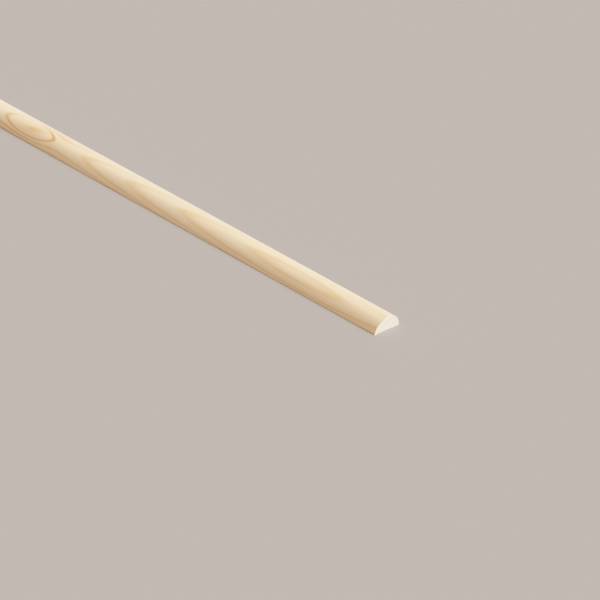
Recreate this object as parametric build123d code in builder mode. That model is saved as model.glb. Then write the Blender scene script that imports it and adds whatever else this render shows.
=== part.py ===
from build123d import *
import os

# Half round moulding: one straight length of planed softwood with a domed face and a flat back,
# sawn square at both ends. It lies on its back: X runs along the length, Y across the back and
# Z up to the crown of the face. The origin is the middle of the flat back.

# Driving dimensions, in millimetres
length = 1200.0  # one of the stock lengths, end to end
width = 21.0  # across the flat back, between the two long edges before they are eased
height = 9.0  # from the flat back up to the crown
arris_radius = 0.3  # easing of the two long edges where the face meets the back

# The section is a straight back under one arc, and it runs the whole length without a change
with BuildPart() as half_round:
    with BuildSketch(Plane.YZ) as section:
        with BuildLine():
            back = Line((-width / 2, 0), (width / 2, 0))
            ThreePointArc(back @ 1, (0, height), back @ 0)
        make_face()
        fillet(section.vertices(), radius=arris_radius)
    extrude(amount=length / 2, both=True)
half_round.part.label = "half_round"

# One piece of stock is one file
os.makedirs("parts", exist_ok=True)
export_step(half_round.part, "parts/half_round.step")
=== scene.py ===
import math

import bmesh
import bpy
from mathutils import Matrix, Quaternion, Vector, noise


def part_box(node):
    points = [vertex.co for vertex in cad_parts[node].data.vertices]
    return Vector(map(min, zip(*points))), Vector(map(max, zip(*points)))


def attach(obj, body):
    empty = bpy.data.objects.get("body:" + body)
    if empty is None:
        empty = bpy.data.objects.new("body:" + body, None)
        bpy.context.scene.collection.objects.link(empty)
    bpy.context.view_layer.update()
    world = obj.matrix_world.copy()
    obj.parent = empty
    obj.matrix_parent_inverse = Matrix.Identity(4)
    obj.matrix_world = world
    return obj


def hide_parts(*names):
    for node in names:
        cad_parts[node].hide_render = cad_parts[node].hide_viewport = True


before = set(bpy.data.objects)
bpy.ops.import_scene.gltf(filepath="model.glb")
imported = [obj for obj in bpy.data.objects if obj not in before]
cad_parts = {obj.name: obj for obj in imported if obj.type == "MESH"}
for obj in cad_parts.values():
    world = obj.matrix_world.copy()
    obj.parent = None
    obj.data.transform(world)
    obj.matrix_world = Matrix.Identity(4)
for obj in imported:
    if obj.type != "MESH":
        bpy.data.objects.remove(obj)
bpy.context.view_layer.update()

# A length of half round moulding in planed pine, lying on its flat back. All sizes are in metres
# unless a name ends in _mm. X runs along the length, Y across the back and Z up to the crown.
MM = 0.001

# The section, as in the solid: one arc over a flat back, with the two long edges eased
back_width = 21 * MM
crown_height = 9 * MM
edge_radius = 0.3 * MM
low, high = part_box("half_round")
far_end, near_end = low.x, high.x
length = near_end - far_end
face_radius = (back_width**2 / 4 + crown_height**2) / (2 * crown_height)
face_centre_z = crown_height - face_radius
edge_y = math.sqrt((face_radius - edge_radius) ** 2 - (edge_radius - face_centre_z) ** 2)
face_half_angle = math.asin(edge_y / (face_radius - edge_radius))

# How finely the wood is cut up into faces
face_steps = 120
edge_steps = 4
back_steps = 12
length_steps = 600
end_cell = 0.6 * MM

# How near counts as in the plane of an end, in a cut or on the round face, and how far along X or down
# a face has to point to count as part of an end or of the back
end_tolerance = length / 1e6
cut_tolerance = end_cell / 100
face_tolerance = edge_radius / 10
end_facing, back_facing = 0.5, -0.99

# The tree's rings, in millimetres. Depth is counted away from the pith, which is on the face's side,
# so it grows from the face into the wood.
ring_width_mm = 2.05
first_ring_mm = 0.9  # a depth at which a dark line has just stopped
ring_curve_mm = 290.0  # the rings' radius
ring_lean = math.radians(-34.3)  # how far the pith lies round from the crown, to the near flank's side
lean_swing = math.radians(2.9)  # how far the lean swings to either side along the length
lean_place_mm, lean_period_mm = 130.0, 600.0
wanders_mm = ((0.05, 24.0, 5.0), (0.02, 7.0, 2.5))  # how far the rings wander, over what run and breadth

# Each hill is a place where the oldest ring shows: how far it is from the near end, how far out its top
# lies, how far the rings fall away within about hill_reach_mm, and how much it slants across the length.
# Between two hills the rings close up into points.
hills_mm = (
    (66.0, 0.0, 3.13, 1.45),
    (492.0, 0.7, 3.34, -1.5),
    (640.0, 2.4, 5.3, 2.0),
    (838.0, 0.2, 2.2, 1.0),
    (1096.0, 1.65, 3.6, -2.0),
)
hill_reach_mm, hill_round_mm, hill_power = 100.0, 15.0, 1.41
hill_blend_mm = 0.6

# The knot, in millimetres: the rings swell up round it, and its small heart shows on the face
knot_place_mm, knot_across_mm = 290.0, 2.5
knot_swell_mm, knot_swell_reach_mm = 6.65, (17.4, 9.0)
knot_core_mm = 5.4  # the swelling shows no ring that is nearer the pith than this depth
pin_knot_mm = 287.0
pin_knot_lean = math.radians(-30.5)
pin_knot_reach_mm = (7.5, 2.0)
pin_knot_slant = -0.2
knot_halo_reach = 3.6  # the stain round the heart, in times the heart's own reach

# The dark late wood of a ring, in shares of the ring's width: it builds up slowly and stops suddenly
latewood_build, latewood_stop = 0.33, 0.17
end_build, end_stop = 0.25, 0.2

# How strongly the ring lines show on the planed face, from the near flank up and over the crown. Their
# fading over the crown is painted highlight, where the lamp washes out the lit top.
weak_year = 0.85
flank_strength, face_strength, crown_highlight_share, knot_strength = 0.77, 0.42, 0.32, 0.74
flank_y, face_y = -10.2 * MM, -6.8 * MM
face_end_y, crown_y = -4.5 * MM, 1.5 * MM
# Painted shade: between these the early wood turns from darker and warmer on the shaded near flank to its
# own pale colour
flank_shade_y, flank_shade_end_y = -10.5 * MM, -4.0 * MM

# Fine relief of the planed face and the sawn ends
raised_grain = 0.025 * MM
grain_start_z, grain_full_z = 2 * edge_radius, 6 * edge_radius
saw_scratch = 0.05 * MM
saw_pitch = 1.25 * MM
saw_centre = Vector((0.0, 0.085, 0.105))
torn_rim = 0.06 * MM
fray_size = 0.7 * MM

# The two finishes, and the surface laid out on a square sheet: the length in rows, each a band of back
# under a band of face, and the ends side by side above the rows
planed, sawn = 0, 1
sheet_rows, sheet_gap = 3, 0.006
back_share = 0.25
ends_height, end_width = 0.115, 0.26
near_end_u, far_end_u = 0.02, 0.52
row_length = length / sheet_rows
row_height = (1 - ends_height) / sheet_rows
back_height = row_height * back_share
face_turn = 2 * math.atan2(edge_y, -face_centre_z)

# Patterns in the wood, as repeats to the metre, along and across the grain where there are two
streak_repeats, streak_detail = (45.0, 2600.0), 4.0
canal_repeats, canal_detail = (130.0, 3800.0), 1.0
canal_bounds, canal_strength = (0.66, 0.76), 0.2
cloud_repeats, cloud_detail = (5.0, 90.0), 2.0
pore_repeats, pore_detail = 3200.0, 3.0
pore_shift_mm = 0.3  # how far the pores shift a ring's edge on the ends
clump_repeats, clump_detail = 700.0, 2.0
ray_width, ray_length, ray_detail = 0.22 * MM, 2.5 * MM, 3.0
# Painted highlight along the ends' curved rim: how wide it is and how far it mixes in
rim_highlight_width, rim_highlight_share = 0.7 * MM, 0.7
knot_heart_share = 0.8

# Shades: between which values a pattern comes in, how strong it gets, and the tone that it darkens by
cloud_shade = ((0.35, 0.7), 0.35, (0.96, 0.91, 0.82, 1.0))
streak_shade = ((0.4, 0.75), 0.5, (0.93, 0.88, 0.8, 1.0))
scratch_shade = ((-1.0, 1.0), 0.25, (0.9, 0.87, 0.83, 1.0))
clump_shade = ((0.4, 0.65), 0.35, (0.9, 0.87, 0.83, 1.0))
pore_shade = ((0.35, 0.7), 0.35, (0.86, 0.82, 0.76, 1.0))
ray_shade = ((0.4, 0.7), 0.5, (0.9, 0.85, 0.77, 1.0))

# Gloss and bump of the two finishes
planed_roughness, latewood_roughness, streak_roughness = 0.6, 0.48, 0.08
planed_sheen = 0.7
planer_pitch = 1.6 * MM
line_height, streak_height, ripple_height = 0.5, 0.6, 0.04
planed_bump, planed_bump_depth = 0.5, 0.04 * MM
sawn_roughness = 0.85
pore_height, scratch_height = 0.8, 0.2
sawn_bump, sawn_bump_depth = 0.6, 0.12 * MM

# Colours of the wood, as linear light
earlywood = (0.88, 0.735, 0.515, 1.0)
# Painted shade: the darker, warmer early wood of the shaded near flank
flank_shade_earlywood = (0.825, 0.635, 0.41, 1.0)
latewood = (0.79, 0.485, 0.135, 1.0)
knot_latewood = (0.68, 0.375, 0.11, 1.0)
end_earlywood = (0.91, 0.838, 0.742, 1.0)
end_latewood = (0.57, 0.375, 0.20, 1.0)
# Painted highlight: the paler band along the curved rim of each end, where the edge catches the light
end_rim_highlight = (0.88, 0.81, 0.71, 1.0)
knot_stain = (0.98, 0.93, 0.88, 1.0)
resin = (0.42, 0.20, 0.06, 1.0)

# The studio: a plain floor, a warm light from all round, one broad cool lamp, and the camera
floor_size = 40.0
floor_grey = (0.51, 0.45, 0.395, 1.0)
floor_roughness, floor_gloss = 0.9, 0.1
backdrop_grey = (0.54, 0.48, 0.43, 1.0)
sky_colour, sky_strength = (1.0, 0.83, 0.69, 1.0), 0.56
lamp_colour, lamp_strength = (0.80, 1.0, 1.2), 2.9
lamp_spread = math.radians(50)
lamp_side = Vector((0.73, 0.15, 0.667))
eye_from_end = Vector((0.9640, -1.2458, 0.8776))
aim_from_end = Vector((-0.0526, -0.0155, 0.0))
camera_tilt = math.radians(7.395)
sensor_width_mm, lens_mm = 36.0, 192.55


# The growth of the wood
def smooth_step(value):
    """0 below 0, 1 above 1, and an even S between."""
    value = min(max(value, 0.0), 1.0)
    return value * value * (3 - 2 * value)


def as_share(swing):
    """A swing from -1 to 1 as a share from 0 to 1."""
    return 0.5 + 0.5 * swing


def soft_min(a, b, blend):
    """The smaller of two depths, rounded where they cross."""
    gap = max(blend - abs(a - b), 0.0) / blend
    return min(a, b) - gap * gap * blend / 4


def hill_depth_mm(along_mm, across_mm):
    """How far out the oldest ring's top lies at a place along the length."""
    depth = None
    for place, top, fall, slant in hills_mm:
        away = math.hypot(along_mm - place - slant * across_mm, hill_round_mm)
        share = (away**hill_power - hill_round_mm**hill_power) / hill_reach_mm**hill_power
        here = top + fall * share
        depth = here if depth is None else soft_min(depth, here, hill_blend_mm)
    return depth


def ring_depth_mm(point):
    """How far out a point lies among the tree's rings, which swell up around the knot."""
    along = (near_end - point.x) / MM
    y, z = point.y / MM, (point.z - face_centre_z) / MM
    lean = ring_lean - lean_swing * math.sin(math.tau * (along - lean_place_mm) / lean_period_mm)
    inward = y * math.sin(lean) + z * math.cos(lean)
    across = y * math.cos(lean) - z * math.sin(lean)
    depth = face_radius / MM - inward + across**2 / (2 * ring_curve_mm)
    depth += hill_depth_mm(along, across)
    for size, run, breadth in wanders_mm:
        depth += size * noise.noise(Vector((along / run, y / breadth, z / breadth)))
    near_along = (along - knot_place_mm) / knot_swell_reach_mm[0]
    near_across = (across - knot_across_mm) / knot_swell_reach_mm[1]
    swell = knot_swell_mm * math.exp(-(near_along**2) - near_across**2)
    return max(depth - swell, min(depth, knot_core_mm))


def latewood_share(depth_mm):
    """1 in the dark hard part of a ring, 0 in the pale soft part."""
    phase = ((depth_mm - first_ring_mm) / ring_width_mm) % 1
    built = smooth_step((phase - 1 + latewood_stop + latewood_build) / latewood_build)
    return built * (1 - smooth_step((phase - 1 + latewood_stop) / latewood_stop))


def pin_knot_share(point):
    """1 at the heart of the small knot in the face, fading to 0 around it."""
    along = (near_end - point.x) / MM - pin_knot_mm
    angle = math.atan2(point.y, point.z - face_centre_z) - pin_knot_lean
    around = angle * face_radius / MM - pin_knot_slant * along
    return math.exp(-((along / pin_knot_reach_mm[0]) ** 2) - (around / pin_knot_reach_mm[1]) ** 2)


# The moulding
def draw_section(wood):
    """The outline at the far end, spun as three arcs and closed by the flat back."""
    start = wood.verts.new((far_end, -edge_y, 0))
    edge_turn = math.pi - face_half_angle
    arcs = (
        ((far_end, -edge_y, edge_radius), edge_turn, edge_steps),
        ((far_end, 0, face_centre_z), 2 * face_half_angle, face_steps),
        ((far_end, edge_y, edge_radius), edge_turn, edge_steps),
    )
    tip = start
    for centre, turn, steps in arcs:
        spun = bmesh.ops.spin(wood, geom=[tip], cent=centre, axis=(-1, 0, 0), angle=turn, steps=steps)
        tip = spun["geom_last"][0]
    back = wood.edges.new((tip, start))
    bmesh.ops.subdivide_edges(wood, edges=[back], cuts=back_steps - 1)
    bmesh.ops.contextual_create(wood, geom=wood.edges[:])


def run_length(wood):
    """Runs the section along the whole length and divides the length into short steps."""
    run = bmesh.ops.extrude_face_region(wood, geom=wood.faces[:])
    moved = [part for part in run["geom"] if isinstance(part, bmesh.types.BMVert)]
    bmesh.ops.translate(wood, verts=moved, vec=(length, 0, 0))
    bmesh.ops.recalc_face_normals(wood, faces=wood.faces)
    long_edges = [e for e in wood.edges if e.calc_length() > length / 2]
    bmesh.ops.subdivide_edges(wood, edges=long_edges, cuts=length_steps - 1, use_grid_fill=True)


def faces_at(wood, end):
    """The faces that lie in the plane of one sawn end."""
    return [f for f in wood.faces if abs(f.calc_center_median().x - end) < end_tolerance]


def on_end(face):
    """Whether a face belongs to a sawn end."""
    return abs(face.normal.x) > end_facing


def divide_end(wood, end):
    """Cuts a sawn end into small cells, so that it can hold the saw's scratches."""
    columns = int(back_width / end_cell)
    rows = int(crown_height / end_cell)
    cuts = [((end, (c / columns - 0.5) * back_width, 0), (0, 1, 0)) for c in range(1, columns)]
    cuts += [((end, 0, r / rows * crown_height), (0, 0, 1)) for r in range(1, rows)]
    for place, facing in cuts:
        faces = faces_at(wood, end)
        edges = {e for f in faces for e in f.edges}
        corners = {v for f in faces for v in f.verts}
        bmesh.ops.bisect_plane(
            wood, geom=[*faces, *edges, *corners], dist=cut_tolerance, plane_co=place, plane_no=facing
        )


def raise_grain(wood):
    """Stands the hard part of each ring slightly proud of the planed face, and writes the rings down."""
    depth = wood.verts.layers.float.new("ring_depth")
    knot = wood.verts.layers.float.new("pin_knot")
    for v in wood.verts:
        v[depth] = ring_depth_mm(v.co)
        v[knot] = pin_knot_share(v.co)
        outward = Vector((0, v.co.y, v.co.z - face_centre_z))
        on_face = smooth_step((v.co.z - grain_start_z) / (grain_full_z - grain_start_z))
        if abs(outward.length - face_radius) < face_tolerance:
            v.co += outward.normalized() * raised_grain * on_face * (latewood_share(v[depth]) - 1)


def scratch_ends(wood):
    """Presses the saw's curved scratches into both ends, and frays the rims a little."""
    for end, inward in ((near_end, -1), (far_end, 1)):
        corners = {v for f in faces_at(wood, end) for v in f.verts}
        for v in corners:
            sweep = math.dist((v.co.y, v.co.z), saw_centre.yz) / saw_pitch
            fray = as_share(noise.noise(Vector((end, v.co.y, v.co.z)) / fray_size))
            at_rim = not all(on_end(f) for f in v.link_faces)
            depth = torn_rim if at_rim else saw_scratch * as_share(math.sin(math.tau * sweep))
            v.co.x += inward * depth * fray


def finish_faces(wood):
    """Gives the ends the sawn finish and the rest the planed one, with a crisp rim between them."""
    for f in wood.faces:
        f.material_index = sawn if on_end(f) else planed
        f.smooth = True
    for e in wood.edges:
        e.smooth = len({f.material_index for f in e.link_faces}) == 1


def spot_on_end(point, left):
    """The place on the sheet of a point on a sawn end, whose left side is at left."""
    u = left + end_width * (0.5 + point.y / back_width)
    v = 1 - ends_height + sheet_gap + (ends_height - 2 * sheet_gap) * point.z / crown_height
    return u, v


def spot_on_length(point, row, on_back):
    """The place on the sheet of a point on the back or the face, in one row of the length."""
    u = sheet_gap + (1 - 2 * sheet_gap) * ((point.x - far_end) / row_length - row)
    base, height = row * row_height, back_height
    band = point.y / (2 * edge_y) + 0.5
    if not on_back:
        base, height = base + back_height, row_height - back_height
        band = math.atan2(point.y, point.z - face_centre_z) / face_turn + 0.5
    v = base + sheet_gap + (height - 2 * sheet_gap) * band
    return u, v


def lay_out_surface(wood):
    """Lays the surface out on the sheet: the length in rows, and the two ends above them."""
    sheet = wood.loops.layers.uv.new("OFBake")
    for f in wood.faces:
        middle = f.calc_center_median()
        row = min(int((middle.x - far_end) / row_length), sheet_rows - 1)
        left = near_end_u if middle.x > 0 else far_end_u
        on_back = f.normal.z < back_facing
        for corner in f.loops:
            point = corner.vert.co
            if f.material_index == sawn:
                corner[sheet].uv = spot_on_end(point, left)
            else:
                corner[sheet].uv = spot_on_length(point, row, on_back)


def make_moulding():
    """The whole length as one piece of wood."""
    wood = bmesh.new()
    draw_section(wood)
    run_length(wood)
    for end in (near_end, far_end):
        divide_end(wood, end)
    bmesh.ops.recalc_face_normals(wood, faces=wood.faces)
    raise_grain(wood)
    scratch_ends(wood)
    finish_faces(wood)
    lay_out_surface(wood)
    mesh = bpy.data.meshes.new("half_round_moulding")
    wood.to_mesh(mesh)
    wood.free()
    moulding = bpy.data.objects.new("half_round_moulding", mesh)
    bpy.context.scene.collection.objects.link(moulding)
    return moulding


# Node helpers
def put(tree, kind, inputs=None, **settings):
    """Adds a node with its settings. An input takes a number, a colour or another node's output."""
    node = tree.nodes.new(kind)
    for name, value in settings.items():
        setattr(node, name, value)
    for name, value in (inputs or {}).items():
        feed(tree, value, node.inputs[name])
    return node


def feed(tree, value, socket):
    """Gives a socket another node's output, or a number or colour of its own."""
    if isinstance(value, bpy.types.NodeSocket):
        tree.links.new(value, socket)
    else:
        socket.default_value = value


def calculate(tree, operation, *values):
    """A Math node's result."""
    return put(tree, "ShaderNodeMath", dict(enumerate(values)), operation=operation).outputs[0]


def fade(tree, value, start, end, to_start=0.0, to_end=1.0):
    """A smooth step from to_start to to_end, as a value goes from start to end."""
    inputs = {
        "Value": value, "From Min": start, "From Max": end, "To Min": to_start, "To Max": to_end,
    }
    return put(tree, "ShaderNodeMapRange", inputs, interpolation_type="SMOOTHSTEP").outputs[0]


def wave(tree, distance, pitch):
    """A wave from -1 to 1, with its crests a pitch apart."""
    return calculate(tree, "SINE", calculate(tree, "MULTIPLY", distance, math.tau / pitch))


def distance_from(tree, place, centre):
    """How far a place is from a centre."""
    inputs = {0: place, 1: centre}
    return put(tree, "ShaderNodeVectorMath", inputs, operation="DISTANCE").outputs["Value"]


def tint(tree, blend_type, factor, first, second):
    """Two colours mixed."""
    node = put(tree, "ShaderNodeMix", data_type="RGBA", blend_type=blend_type)
    for socket, value in (("Factor_Float", factor), ("A_Color", first), ("B_Color", second)):
        feed(tree, value, next(s for s in node.inputs if s.identifier == socket))
    return next(s for s in node.outputs if s.identifier == "Result_Color")


def shade(tree, colour, pattern, bounds, strength, tone):
    """A colour that darkens by a tone where a pattern comes in."""
    return tint(tree, "MULTIPLY", fade(tree, pattern, *bounds, to_end=strength), colour, tone)


def stretched(tree, vector, along, across):
    """Coordinates scaled for a pattern with so many repeats to the metre along and across the grain."""
    inputs = {"Vector": vector, "Scale": (along, across, across)}
    return put(tree, "ShaderNodeMapping", inputs).outputs[0]


def cloudy(tree, vector, detail, repeats=1.0):
    """A noise pattern from 0 to 1."""
    inputs = {"Vector": vector, "Scale": repeats, "Detail": detail}
    return put(tree, "ShaderNodeTexNoise", inputs).outputs["Fac"]


def attribute(tree, name):
    """A value that was written down on the mesh."""
    return put(tree, "ShaderNodeAttribute", attribute_name=name).outputs["Fac"]


def start_group(name, inputs, outputs):
    """A node group with named sockets, and its input and output nodes."""
    group = bpy.data.node_groups.new(name, "ShaderNodeTree")
    for label, kind in inputs:
        group.interface.new_socket(label, in_out="INPUT", socket_type=kind)
    for label, kind in outputs:
        group.interface.new_socket(label, in_out="OUTPUT", socket_type=kind)
    return group, put(group, "NodeGroupInput").outputs, put(group, "NodeGroupOutput").inputs


# Effects that both finishes share
def make_growth_rings():
    """Colours the rings: pale early wood that darkens slowly into late wood, which stops suddenly."""
    group, given, result = start_group(
        "growth_rings",
        (
            ("Depth", "NodeSocketFloat"),
            ("Strength", "NodeSocketFloat"),
            ("Build", "NodeSocketFloat"),
            ("Stop", "NodeSocketFloat"),
            ("Earlywood", "NodeSocketColor"),
            ("Latewood", "NodeSocketColor"),
        ),
        (("Color", "NodeSocketColor"), ("Line", "NodeSocketFloat")),
    )
    past_first = calculate(group, "SUBTRACT", given["Depth"], first_ring_mm)
    count = calculate(group, "DIVIDE", past_first, ring_width_mm)
    phase = calculate(group, "FRACT", count)
    year = calculate(group, "FLOOR", count)
    weather = put(group, "ShaderNodeTexWhiteNoise", {"W": year}, noise_dimensions="1D").outputs["Value"]
    strength = fade(group, weather, 0.0, 1.0, to_start=weak_year)
    strength = calculate(group, "MULTIPLY", strength, given["Strength"])
    peak = calculate(group, "SUBTRACT", 1.0, given["Stop"])
    start = calculate(group, "SUBTRACT", peak, given["Build"])
    built = fade(group, phase, start, peak)
    kept = fade(group, phase, peak, 1.0, to_start=1.0, to_end=0.0)
    line = calculate(group, "MULTIPLY", built, kept)
    line = calculate(group, "MULTIPLY", line, strength)
    group.links.new(tint(group, "MIX", line, given["Earlywood"], given["Latewood"]), result["Color"])
    group.links.new(line, result["Line"])
    return group


def make_wood_fibre():
    """Fine streaks along the grain, and the short dark dashes of resin canals."""
    group, given, result = start_group(
        "wood_fibre",
        (("Vector", "NodeSocketVector"),),
        (("Streaks", "NodeSocketFloat"), ("Canals", "NodeSocketFloat")),
    )
    streaks = cloudy(group, stretched(group, given["Vector"], *streak_repeats), streak_detail)
    canals = cloudy(group, stretched(group, given["Vector"], *canal_repeats), canal_detail)
    group.links.new(streaks, result["Streaks"])
    group.links.new(fade(group, canals, *canal_bounds), result["Canals"])
    return group


# The two finishes
def start_material(name):
    """A new material, with its tree, its shader and the piece's own coordinates."""
    material = bpy.data.materials.new(name)
    material.use_nodes = True
    tree = material.node_tree
    place = put(tree, "ShaderNodeTexCoord").outputs["Object"]
    return material, tree, tree.nodes["Principled BSDF"], place


def add_canals(tree, colour, canals):
    """A colour with the dark dashes of the resin canals on it."""
    return tint(tree, "MIX", calculate(tree, "MULTIPLY", canals, canal_strength), colour, resin)


def line_strength(tree, y, halo):
    """How strongly the lines show: most on the near flank and round the knot, least past the crown, where
    the fading is painted highlight.
    """
    flank = fade(tree, y, flank_y, face_y, to_start=flank_strength, to_end=face_strength)
    crown = fade(tree, y, face_end_y, crown_y, to_start=1.0, to_end=crown_highlight_share)
    strength = calculate(tree, "MULTIPLY", flank, crown)
    return calculate(tree, "MULTIPLY_ADD", halo, knot_strength, strength)


def make_planed_pine(rings, fibre):
    """The planed face and back: silky pale wood with orange ring lines and a small knot, with painted
    shade on the near flank and painted highlight over the crown.
    """
    material, tree, shader, place = start_material("planed_pine")
    xyz = put(tree, "ShaderNodeSeparateXYZ", {"Vector": place}).outputs
    knot = attribute(tree, "pin_knot")
    halo = calculate(tree, "POWER", knot, 1 / knot_halo_reach**2)
    halo = calculate(tree, "SUBTRACT", halo, knot)
    # Painted shade: the early wood darkens and warms toward the shaded near flank
    pale = fade(tree, xyz["Y"], flank_shade_y, flank_shade_end_y)
    ring_inputs = {
        "Depth": attribute(tree, "ring_depth"),
        "Strength": line_strength(tree, xyz["Y"], halo),
        "Build": latewood_build,
        "Stop": latewood_stop,
        "Earlywood": tint(tree, "MIX", pale, flank_shade_earlywood, earlywood),
        "Latewood": latewood,
    }
    ring = put(tree, "ShaderNodeGroup", ring_inputs, node_tree=rings).outputs
    grain = put(tree, "ShaderNodeGroup", {"Vector": place}, node_tree=fibre).outputs
    cloud = cloudy(tree, stretched(tree, place, *cloud_repeats), cloud_detail)
    knot_line = calculate(tree, "MULTIPLY", ring["Line"], halo)
    colour = tint(tree, "MIX", knot_line, ring["Color"], knot_latewood)
    colour = tint(tree, "MIX", calculate(tree, "MULTIPLY", knot, knot_heart_share), colour, latewood)
    colour = tint(tree, "MULTIPLY", halo, colour, knot_stain)
    colour = shade(tree, colour, cloud, *cloud_shade)
    colour = shade(tree, colour, grain["Streaks"], *streak_shade)
    colour = add_canals(tree, colour, grain["Canals"])
    rough = fade(tree, ring["Line"], 0.0, 1.0, to_start=planed_roughness, to_end=latewood_roughness)
    rough = calculate(tree, "MULTIPLY_ADD", grain["Streaks"], streak_roughness, rough)
    height = calculate(tree, "MULTIPLY", grain["Streaks"], streak_height)
    height = calculate(tree, "MULTIPLY_ADD", ring["Line"], line_height, height)
    height = calculate(tree, "MULTIPLY_ADD", wave(tree, xyz["X"], planer_pitch), ripple_height, height)
    bump_inputs = {"Height": height, "Strength": planed_bump, "Distance": planed_bump_depth}
    bump = put(tree, "ShaderNodeBump", bump_inputs).outputs[0]
    for socket, value in (("Base Color", colour), ("Roughness", rough), ("Normal", bump)):
        feed(tree, value, shader.inputs[socket])
    shader.inputs["Sheen Weight"].default_value = planed_sheen
    return material


def make_sawn_pine(rings, fibre):
    """The sawn ends: paler and rougher than the face, with the rings on end, the saw's scratches and a
    painted highlight along the curved rim.
    """
    material, tree, shader, place = start_material("sawn_pine")
    flat = put(tree, "ShaderNodeVectorMath", {0: place, 1: (0, 1, 1)}, operation="MULTIPLY").outputs[0]
    pores = cloudy(tree, flat, pore_detail, pore_repeats)
    ring_inputs = {
        "Depth": calculate(tree, "MULTIPLY_ADD", pores, pore_shift_mm, attribute(tree, "ring_depth")),
        "Strength": 1.0,
        "Build": end_build,
        "Stop": end_stop,
        "Earlywood": end_earlywood,
        "Latewood": end_latewood,
    }
    ring = put(tree, "ShaderNodeGroup", ring_inputs, node_tree=rings).outputs
    grain = put(tree, "ShaderNodeGroup", {"Vector": place}, node_tree=fibre).outputs
    scratch = wave(tree, distance_from(tree, flat, saw_centre), saw_pitch)
    clumps = cloudy(tree, flat, clump_detail, clump_repeats)
    ray_inputs = {"Vector": flat, "Rotation": (-ring_lean, 0, 0), "Scale": (1, ray_width, ray_length)}
    ray_place = put(tree, "ShaderNodeMapping", ray_inputs, vector_type="TEXTURE").outputs[0]
    rays = cloudy(tree, ray_place, ray_detail)
    # Painted highlight: a paler band along the ends' curved rim
    reach = distance_from(tree, flat, (0, 0, face_centre_z))
    rim = fade(tree, reach, face_radius - rim_highlight_width, face_radius, to_end=rim_highlight_share)
    colour = tint(tree, "MIX", rim, ring["Color"], end_rim_highlight)
    colour = shade(tree, colour, scratch, *scratch_shade)
    colour = shade(tree, colour, clumps, *clump_shade)
    colour = shade(tree, colour, pores, *pore_shade)
    colour = shade(tree, colour, rays, *ray_shade)
    colour = add_canals(tree, colour, grain["Canals"])
    height = calculate(tree, "MULTIPLY", scratch, scratch_height)
    height = calculate(tree, "MULTIPLY_ADD", pores, pore_height, height)
    bump_inputs = {"Height": height, "Strength": sawn_bump, "Distance": sawn_bump_depth}
    bump = put(tree, "ShaderNodeBump", bump_inputs).outputs[0]
    for socket, value in (("Base Color", colour), ("Normal", bump)):
        feed(tree, value, shader.inputs[socket])
    shader.inputs["Roughness"].default_value = sawn_roughness
    return material


# The studio
def lay_floor():
    """A wide plain floor under the moulding."""
    slab = bmesh.new()
    bmesh.ops.create_grid(slab, x_segments=1, y_segments=1, size=floor_size)
    mesh = bpy.data.meshes.new("studio_floor")
    slab.to_mesh(mesh)
    slab.free()
    floor = bpy.data.objects.new("studio_floor", mesh)
    bpy.context.scene.collection.objects.link(floor)
    paint = bpy.data.materials.new("floor_paint")
    paint.use_nodes = True
    shader = paint.node_tree.nodes["Principled BSDF"]
    shader.inputs["Base Color"].default_value = floor_grey
    shader.inputs["Roughness"].default_value = floor_roughness
    shader.inputs["Specular IOR Level"].default_value = floor_gloss
    mesh.materials.append(paint)


def hang_lights():
    """A warm even light from all round, and one broad cool lamp from above the near end."""
    world = bpy.data.worlds.new("studio")
    world.use_nodes = True
    tree = world.node_tree
    sky = tree.nodes["Background"]
    sky.inputs["Color"].default_value = sky_colour
    sky.inputs["Strength"].default_value = sky_strength
    backdrop = put(tree, "ShaderNodeBackground", {"Color": backdrop_grey})
    path = put(tree, "ShaderNodeLightPath").outputs
    seen = calculate(tree, "MAXIMUM", path["Is Camera Ray"], path["Is Glossy Ray"])
    seen = calculate(tree, "MAXIMUM", seen, path["Is Transmission Ray"])
    either = put(tree, "ShaderNodeMixShader", {0: seen, 1: sky.outputs[0], 2: backdrop.outputs[0]})
    tree.links.new(either.outputs[0], tree.nodes["World Output"].inputs["Surface"])
    bpy.context.scene.world = world
    lamp = bpy.data.lights.new("soft_key", "SUN")
    lamp.energy = lamp_strength
    lamp.color = lamp_colour
    lamp.angle = lamp_spread
    key = bpy.data.objects.new("soft_key", lamp)
    key.rotation_euler = lamp_side.to_track_quat("Z", "Y").to_euler()
    bpy.context.scene.collection.objects.link(key)


def place_camera():
    """A long lens above and beside the near end, turned a little about its own axis."""
    end = Vector((near_end, 0, 0))
    eye = end + eye_from_end
    aim = end + aim_from_end
    lens = bpy.data.cameras.new("camera")
    lens.sensor_width = sensor_width_mm
    lens.lens = lens_mm
    camera = bpy.data.objects.new("camera", lens)
    camera.location = eye
    camera.rotation_mode = "QUATERNION"
    camera.rotation_quaternion = (aim - eye).to_track_quat("-Z", "Y") @ Quaternion((0, 0, 1), camera_tilt)
    bpy.context.scene.collection.objects.link(camera)
    bpy.context.scene.camera = camera


moulding = make_moulding()
growth_rings, wood_fibre = make_growth_rings(), make_wood_fibre()
moulding.data.materials.append(make_planed_pine(growth_rings, wood_fibre))
moulding.data.materials.append(make_sawn_pine(growth_rings, wood_fibre))
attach(moulding, "root")
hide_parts("half_round")

lay_floor()
hang_lights()
place_camera()
bpy.context.scene.view_settings.view_transform = "Standard"
